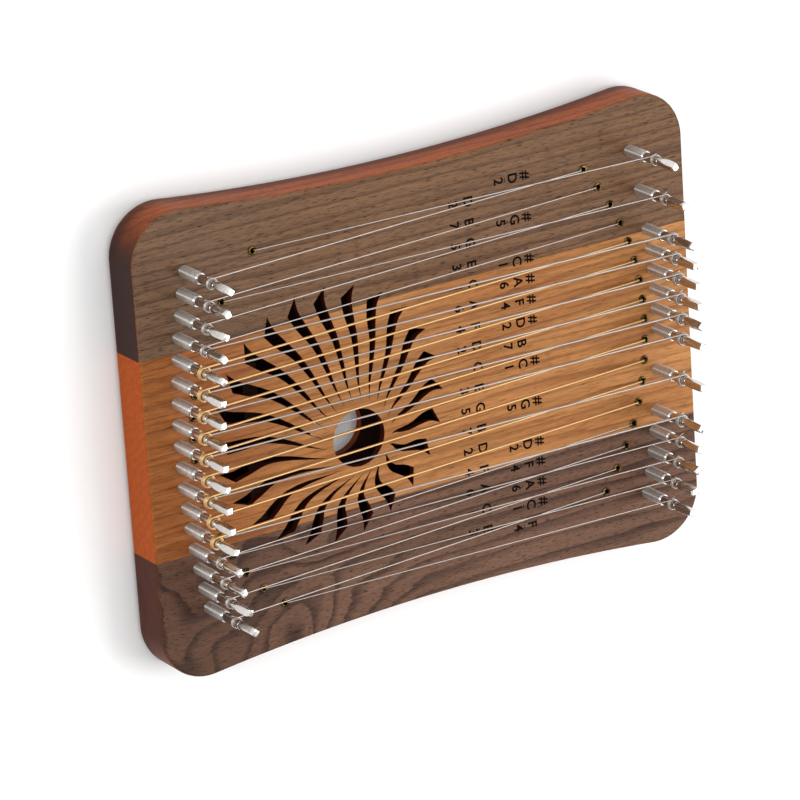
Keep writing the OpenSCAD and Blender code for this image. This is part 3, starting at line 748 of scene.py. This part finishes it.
def square_round(half, power):
    """Radius by angle of a square with rounded corners. Power 2 is a circle, a high power is square."""
    angles = [2 * math.pi * i / pin_steps for i in range(pin_steps)]
    return [half / (abs(math.cos(a)) ** power + abs(math.sin(a)) ** power) ** (1 / power) for a in angles]


def tuning_pin(name, at, height, shoulder, turned_by):
    """One pin: round rings up to the head, then rings that go from round to square."""
    bm = bmesh.new()
    neck_top = height - head_l
    # half width, height over the front, power (2 is round, 9 nearly square), 0 threaded or 1 polished
    rings = [(tip_r, -pin_below, 2, 0), (tip_edge_r, -pin_below, 2, 0), (shank_r, tip_l - pin_below, 2, 0),
             (shank_r, 0.0, 2, 0), (shank_r, shoulder - bevel_l, 2, 0), (shank_r - bevel_w, shoulder, 2, 1),
             (neck_r + 0.15, shoulder, 2, 1), (neck_r, shoulder + fillet, 2, 1),
             (neck_r, neck_top - fillet, 2, 1)]
    for k in range(head_rings + 1):
        share = k / head_rings
        rings.append((head_half_low + (head_half_top - head_half_low) * share,
                      neck_top + (head_l - 0.45) * share, 2 + 7 * min(share * 1.5, 1), 1))
    rings += [(head_half_top - 0.12, height - 0.16, 9, 1), (head_half_top - 0.4, height, 8, 1)]
    rows, angles = [], [2 * math.pi * i / pin_steps for i in range(pin_steps)]
    for half, z, power, finish in rings:
        reach = square_round(half, power)
        rows.append([bm.verts.new((r * math.cos(a + turned_by), r * math.sin(a + turned_by), z))
                     for r, a in zip(reach, angles)])
    unrolled = bm.loops.layers.uv.new("turn")
    for k, (low, high) in enumerate(zip(rows, rows[1:])):
        for i in range(pin_steps):
            j = (i + 1) % pin_steps
            face = bm.faces.new((low[i], low[j], high[j], high[i]))
            face.material_index = rings[k + 1][3]
            for loop, (u, z) in zip(face.loops, ((i, rings[k][1]), (i + 1, rings[k][1]),
                                                 (i + 1, rings[k + 1][1]), (i, rings[k + 1][1]))):
                loop[unrolled].uv = (u / pin_steps, z)
    bm.faces.new(reversed(rows[0])).material_index = 0
    bm.faces.new(rows[-1]).material_index = 1
    bmesh.ops.translate(bm, verts=bm.verts, vec=(at[0], at[1], body_t))
    return new_piece(name, bm, [nickel_threaded, nickel_polished])


# ---- strings -------------------------------------------------
# The middle naturals are steel wound with bronze and the middle sharps steel wound with silver-plated
# wire. The rest are plain steel. Each is wound down its pin, and leaves the coil on the upper side.


def wire_metal(name, colour, shadow, roughness, wrap_mm, wrap_deep):
    """Bare or wrapped wire. The wrap is a fine helix, drawn a little coarser than real to show."""
    made, tree, out = new_material(name)
    unrolled = add_node(tree, "ShaderNodeUVMap", uv_map="turn")
    at = add_node(tree, "ShaderNodeSeparateXYZ", {"Vector": unrolled.outputs[0]})
    along = add_node(tree, "ShaderNodeMath", {0: at.outputs["Y"], 1: 1 / wrap_mm, 2: at.outputs["X"]},
                     operation="MULTIPLY_ADD")
    turns = add_node(tree, "ShaderNodeMath", {0: along.outputs[0], 1: 2 * math.pi}, operation="MULTIPLY")
    wave = add_node(tree, "ShaderNodeMath", {0: turns.outputs[0]}, operation="SINE")
    groove = add_node(tree, "ShaderNodeMapRange", {"Value": wave.outputs[0], "From Min": -1.0,
                                                   "To Min": 1.0, "To Max": 0.0})
    tone = add_node(tree, "ShaderNodeMix", {
        "Factor": groove.outputs[0], "A": linear(colour), "B": linear(shadow)}, data_type="RGBA")
    relief = add_node(tree, "ShaderNodeBump", {
        "Height": wave.outputs[0], "Distance": wrap_deep * mm, "Strength": 1.0})
    metal = add_node(tree, "ShaderNodeBsdfPrincipled", {
        "Base Color": tone.outputs["Result"], "Metallic": 1.0, "Roughness": roughness,
        "Normal": relief.outputs["Normal"]})
    tree.links.new(metal.outputs[0], out.inputs["Surface"])
    return made


bronze_wire = wire_metal("phosphor_bronze_wound_wire", "#e3bf8c", "#bd925d", roughness=0.44,
                         wrap_mm=0.5, wrap_deep=0.012)
silver_wire = wire_metal("silver_plated_wound_wire", "#c9c2bd", "#a49b95", roughness=0.46,
                         wrap_mm=0.45, wrap_deep=0.010)
plain_wire = wire_metal("music_wire_drawn_steel", "#c4bbb5", "#b8afa9", roughness=0.42,
                        wrap_mm=0.9, wrap_deep=0.001)
string_kinds = {
    # diameter, turns on the pin, material, slot
    "bronze": (1.1, 3.0, bronze_wire, "bronze_wire"),
    "silver": (0.9, 3.0, silver_wire, "silver_wire"),
    "plain": (0.5, 4.0, plain_wire, "steel_wire"),
}
string_nodes = {
    ("left", "bronze"): "bronze_wound_strings", ("left", "plain"): "plain_natural_strings",
    ("right", "silver"): "silver_wound_strings", ("right", "plain"): "plain_sharp_strings",
}


def tube(bm, unrolled, path, r):
    """Round wire along a path of points, capped at both ends, with turn and distance as its UV."""
    points = [Vector(p) for p in path]
    travel = [0.0]
    for a, b in zip(points, points[1:]):
        travel.append(travel[-1] + (b - a).length)
    ways = [(points[min(i + 1, len(points) - 1)] - points[max(i - 1, 0)]).normalized()
            for i in range(len(points))]
    side = ways[0].orthogonal().normalized()
    rows = []
    for p, way in zip(points, ways):
        side = (side - way * side.dot(way)).normalized()
        up = way.cross(side)
        rows.append([bm.verts.new(p + (side * math.cos(a) + up * math.sin(a)) * r)
                     for a in (2 * math.pi * k / wire_sides for k in range(wire_sides))])
    for k, (low, high) in enumerate(zip(rows, rows[1:])):
        for i in range(wire_sides):
            j = (i + 1) % wire_sides
            face = bm.faces.new((low[i], low[j], high[j], high[i]))
            for loop, (u, v) in zip(face.loops, ((i, k), (i + 1, k), (i + 1, k + 1), (i, k + 1))):
                loop[unrolled].uv = (u / wire_sides, travel[v])
    bm.faces.new(reversed(rows[0]))
    bm.faces.new(rows[-1])


coil_gap, coil_share = 0.03, 0.75
coil_steps, coil_lay = 24, 1.04
wire_sides, straight_steps, bend_steps, drop_steps = 10, 30, 5, 4
shortest_tail, longest_tail = 0.6, 2.4
random.seed(17)


def string_coil(name, at, way, top, kind):
    """The turns on the pin, from where the string leaves down to the wire's cut end."""
    d, turns, finish, slot = string_kinds[kind]
    r = neck_r + coil_gap + d / 2
    count = round(turns * coil_steps)
    path = []
    for i in range(count + 1):
        a = math.pi / 2 + way * 2 * math.pi * turns * i / count
        drop = d * coil_lay * turns * i / count * (turns - 1) / turns
        path.append((at[0] + r * math.cos(a), at[1] + r * math.sin(a), top - drop))
    tail = random.uniform(shortest_tail, longest_tail)
    out_way = Vector((math.cos(a + way * 1.1), math.sin(a + way * 1.1), random.uniform(-0.3, 0.5)))
    path += [Vector(path[-1]) + out_way * tail * k / 3 for k in (1, 2, 3)]
    bm = bmesh.new()
    tube(bm, bm.loops.layers.uv.new("turn"), path, d / 2)
    coil = new_piece(name, bm, [finish])
    soften(coil, 50)
    return coil


def free_string(bm, unrolled, at, way, top, hole, kind):
    """From the coil straight to the lip of the grommet, over it, and down to the ball end."""
    d = string_kinds[kind][0]
    start = Vector((at[0], at[1] + neck_r + coil_gap + d / 2, top))
    heading = Vector((hole[0] - start.x, hole[1] - start.y, 0)).normalized()
    bend_r, lip_gap = 0.9, 0.06
    drop_at = Vector((hole[0], hole[1], 0)) - heading * (bore_r - d / 2 - lip_gap)
    lip = Vector((drop_at.x, drop_at.y, body_t + lip_t + d / 2 + lip_gap)) - heading * bend_r
    path = [start.lerp(lip, k / straight_steps) for k in range(straight_steps + 1)]
    for k in range(1, bend_steps + 1):
        a = math.pi / 2 * k / bend_steps
        path.append(lip + heading * bend_r * math.sin(a) - Vector((0, 0, bend_r * (1 - math.cos(a)))))
    low = Vector((path[-1].x, path[-1].y, ferrule_l))
    foot = Vector((hole[0], hole[1], ball_high - 0.5))
    path += [Vector(path[-1]).lerp(low, k / drop_steps) for k in range(1, drop_steps + 1)] + [foot]
    tube(bm, unrolled, path, d / 2)


shoulders = {"left": 15.0, "right": 14.0}
# first and last wound string of each row, counted from the upper long side, and their kind
wound_rows = {"left": (4, 12, "bronze"), "right": (2, 9, "silver")}
for side, pins, names, holes, way in (("left", left_pins, left_pin_names, right_holes, 1),
                                      ("right", right_pins, right_pin_names, left_holes, -1)):
    first_wound, last_wound, wound = wound_rows[side]
    bundles = {k: bmesh.new() for k in (wound, "plain")}
    layers = {k: b.loops.layers.uv.new("turn") for k, b in bundles.items()}
    for i, (at, node) in enumerate(zip(pins, names)):
        kind = wound if first_wound <= i <= last_wound else "plain"
        height = pin_box[node][1].z - body_t
        coil_top = body_t + shoulders[side] + coil_share * (height - head_l - shoulders[side])
        pin = tuning_pin("tuning_" + node, at, height, shoulders[side], random.uniform(0, math.pi / 2))
        soften(pin, 28)
        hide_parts(node)
        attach(pin, node)
        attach(string_coil("coil_" + node[4:], at, way, coil_top, kind), node)
        free_string(bundles[kind], layers[kind], at, way, coil_top, holes[i], kind)
    for kind, bm in bundles.items():
        finish, slot = string_kinds[kind][2:]
        strings = new_piece("strings_" + side + "_" + kind, bm, [finish])
        soften(strings, 60)
        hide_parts(string_nodes[side, kind])
        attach(strings, "body")

# ---- note marks ----------------------------------------------
# The note of each string, burnt black into the wood beside it: sharp sign, letter and scale number,
# read with the right end up. One or two dots over the number mark the higher octaves, one under it
# the lower.
mark_char, tree, out = new_material("wood_burnt_black")
char_grit_mm, char_deep = 0.4, 0.03
place = add_node(tree, "ShaderNodeTexCoord")
char_noise = add_node(tree, "ShaderNodeTexNoise", {
    "Vector": place.outputs["Object"], "Scale": 1000 / char_grit_mm})
char_tone = add_node(tree, "ShaderNodeMix", {
    "Factor": char_noise.outputs["Fac"], "A": linear("#070504"), "B": linear("#1a110c")}, data_type="RGBA")
char_relief = add_node(tree, "ShaderNodeBump", {
    "Height": char_noise.outputs["Fac"], "Distance": char_deep * mm})
char = add_node(tree, "ShaderNodeBsdfPrincipled", {
    "Base Color": char_tone.outputs["Result"], "Roughness": 0.9, "Specular IOR Level": 0.05,
    "Normal": char_relief.outputs["Normal"]})
tree.links.new(char.outputs[0], out.inputs["Surface"])

natural_notes = ["D2:", "B7.", "G5.", "E3.", "C1.", "A6", "F4", "D2", "C1", "E3", "G5", "B7", "D2.", "F4.",
                 "A6.", "C1:", "E3:"]
sharp_notes = ["#D2:", "#G5.", "#C1.", "#A6", "#F4", "#D2", " B7_", "#C1", "#G5", "#D2.", "#F4.", "#A6.",
               "#C1:", " F4:"]
mark_size, mark_t, mark_bold, mark_pitch = 6.9, 0.05, 0.16, 10.0
dot_r, dot_off, dot_side, dot_steps = 0.34, 3.6, 0.55, 16
natural_mark_x, sharp_mark_x = (27.8, 19.7), (59.7, 52.6, 44.9)
natural_mark_y, sharp_mark_y = 81.0, 86.6
# the rows of the sharps lie half a space off the naturals, and their pins 0.8 mm higher
middle_row, sharp_pin_y = 8.5, 0.8
sharp_rows = [round(middle_row - (p.y - sharp_pin_y) / mark_pitch) for p in right_pins]


def write_mark(glyph, x, y):
    """One character as a thin charred plate, half sunk in the wood, its top toward the right end."""
    text = bpy.data.curves.new("mark", "FONT")
    text.body, text.size, text.align_x, text.align_y = glyph, mark_size, "CENTER", "CENTER"
    text.extrude, text.offset, text.resolution_u = mark_t, mark_bold, 4
    holder = bpy.data.objects.new("mark", text)
    holder.matrix_world = Matrix.Translation((x, y, body_t)) @ Matrix.Rotation(-math.pi / 2, 4, "Z")
    bpy.context.scene.collection.objects.link(holder)
    return holder


letters = []
for i, note in enumerate(natural_notes):
    for glyph, x in zip(note, natural_mark_x):
        letters.append((glyph, x, natural_mark_y - mark_pitch * i, note[2:]))
for row, note in zip(sharp_rows, sharp_notes):
    for glyph, x in zip(note, sharp_mark_x):
        if glyph != " ":
            letters.append((glyph, x, sharp_mark_y - mark_pitch * row, note[3:]))
bm = bmesh.new()
for glyph, x, y, dots in letters:
    holder = write_mark(glyph, x, y)
    bpy.context.view_layer.update()
    shape = holder.evaluated_get(bpy.context.evaluated_depsgraph_get()).to_mesh()
    shape.transform(holder.matrix_world)
    bm.from_mesh(shape)
    holder.to_mesh_clear()
    bpy.data.objects.remove(holder)
    if glyph.isdigit():
        spots = {"": [], ".": [(dot_off, 0)], ":": [(dot_off, dot_side), (dot_off, -dot_side)],
                 "_": [(-dot_off, 0)]}[dots]
        for ahead, sideways in spots:
            lathe(bm, (x + ahead, y + sideways),
                  [(0, body_t - mark_t), (dot_r, body_t - mark_t), (dot_r, body_t + mark_t),
                   (0, body_t + mark_t)], dot_steps)
marks = new_piece("note_marks", bm, [mark_char])
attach(marks, "body")
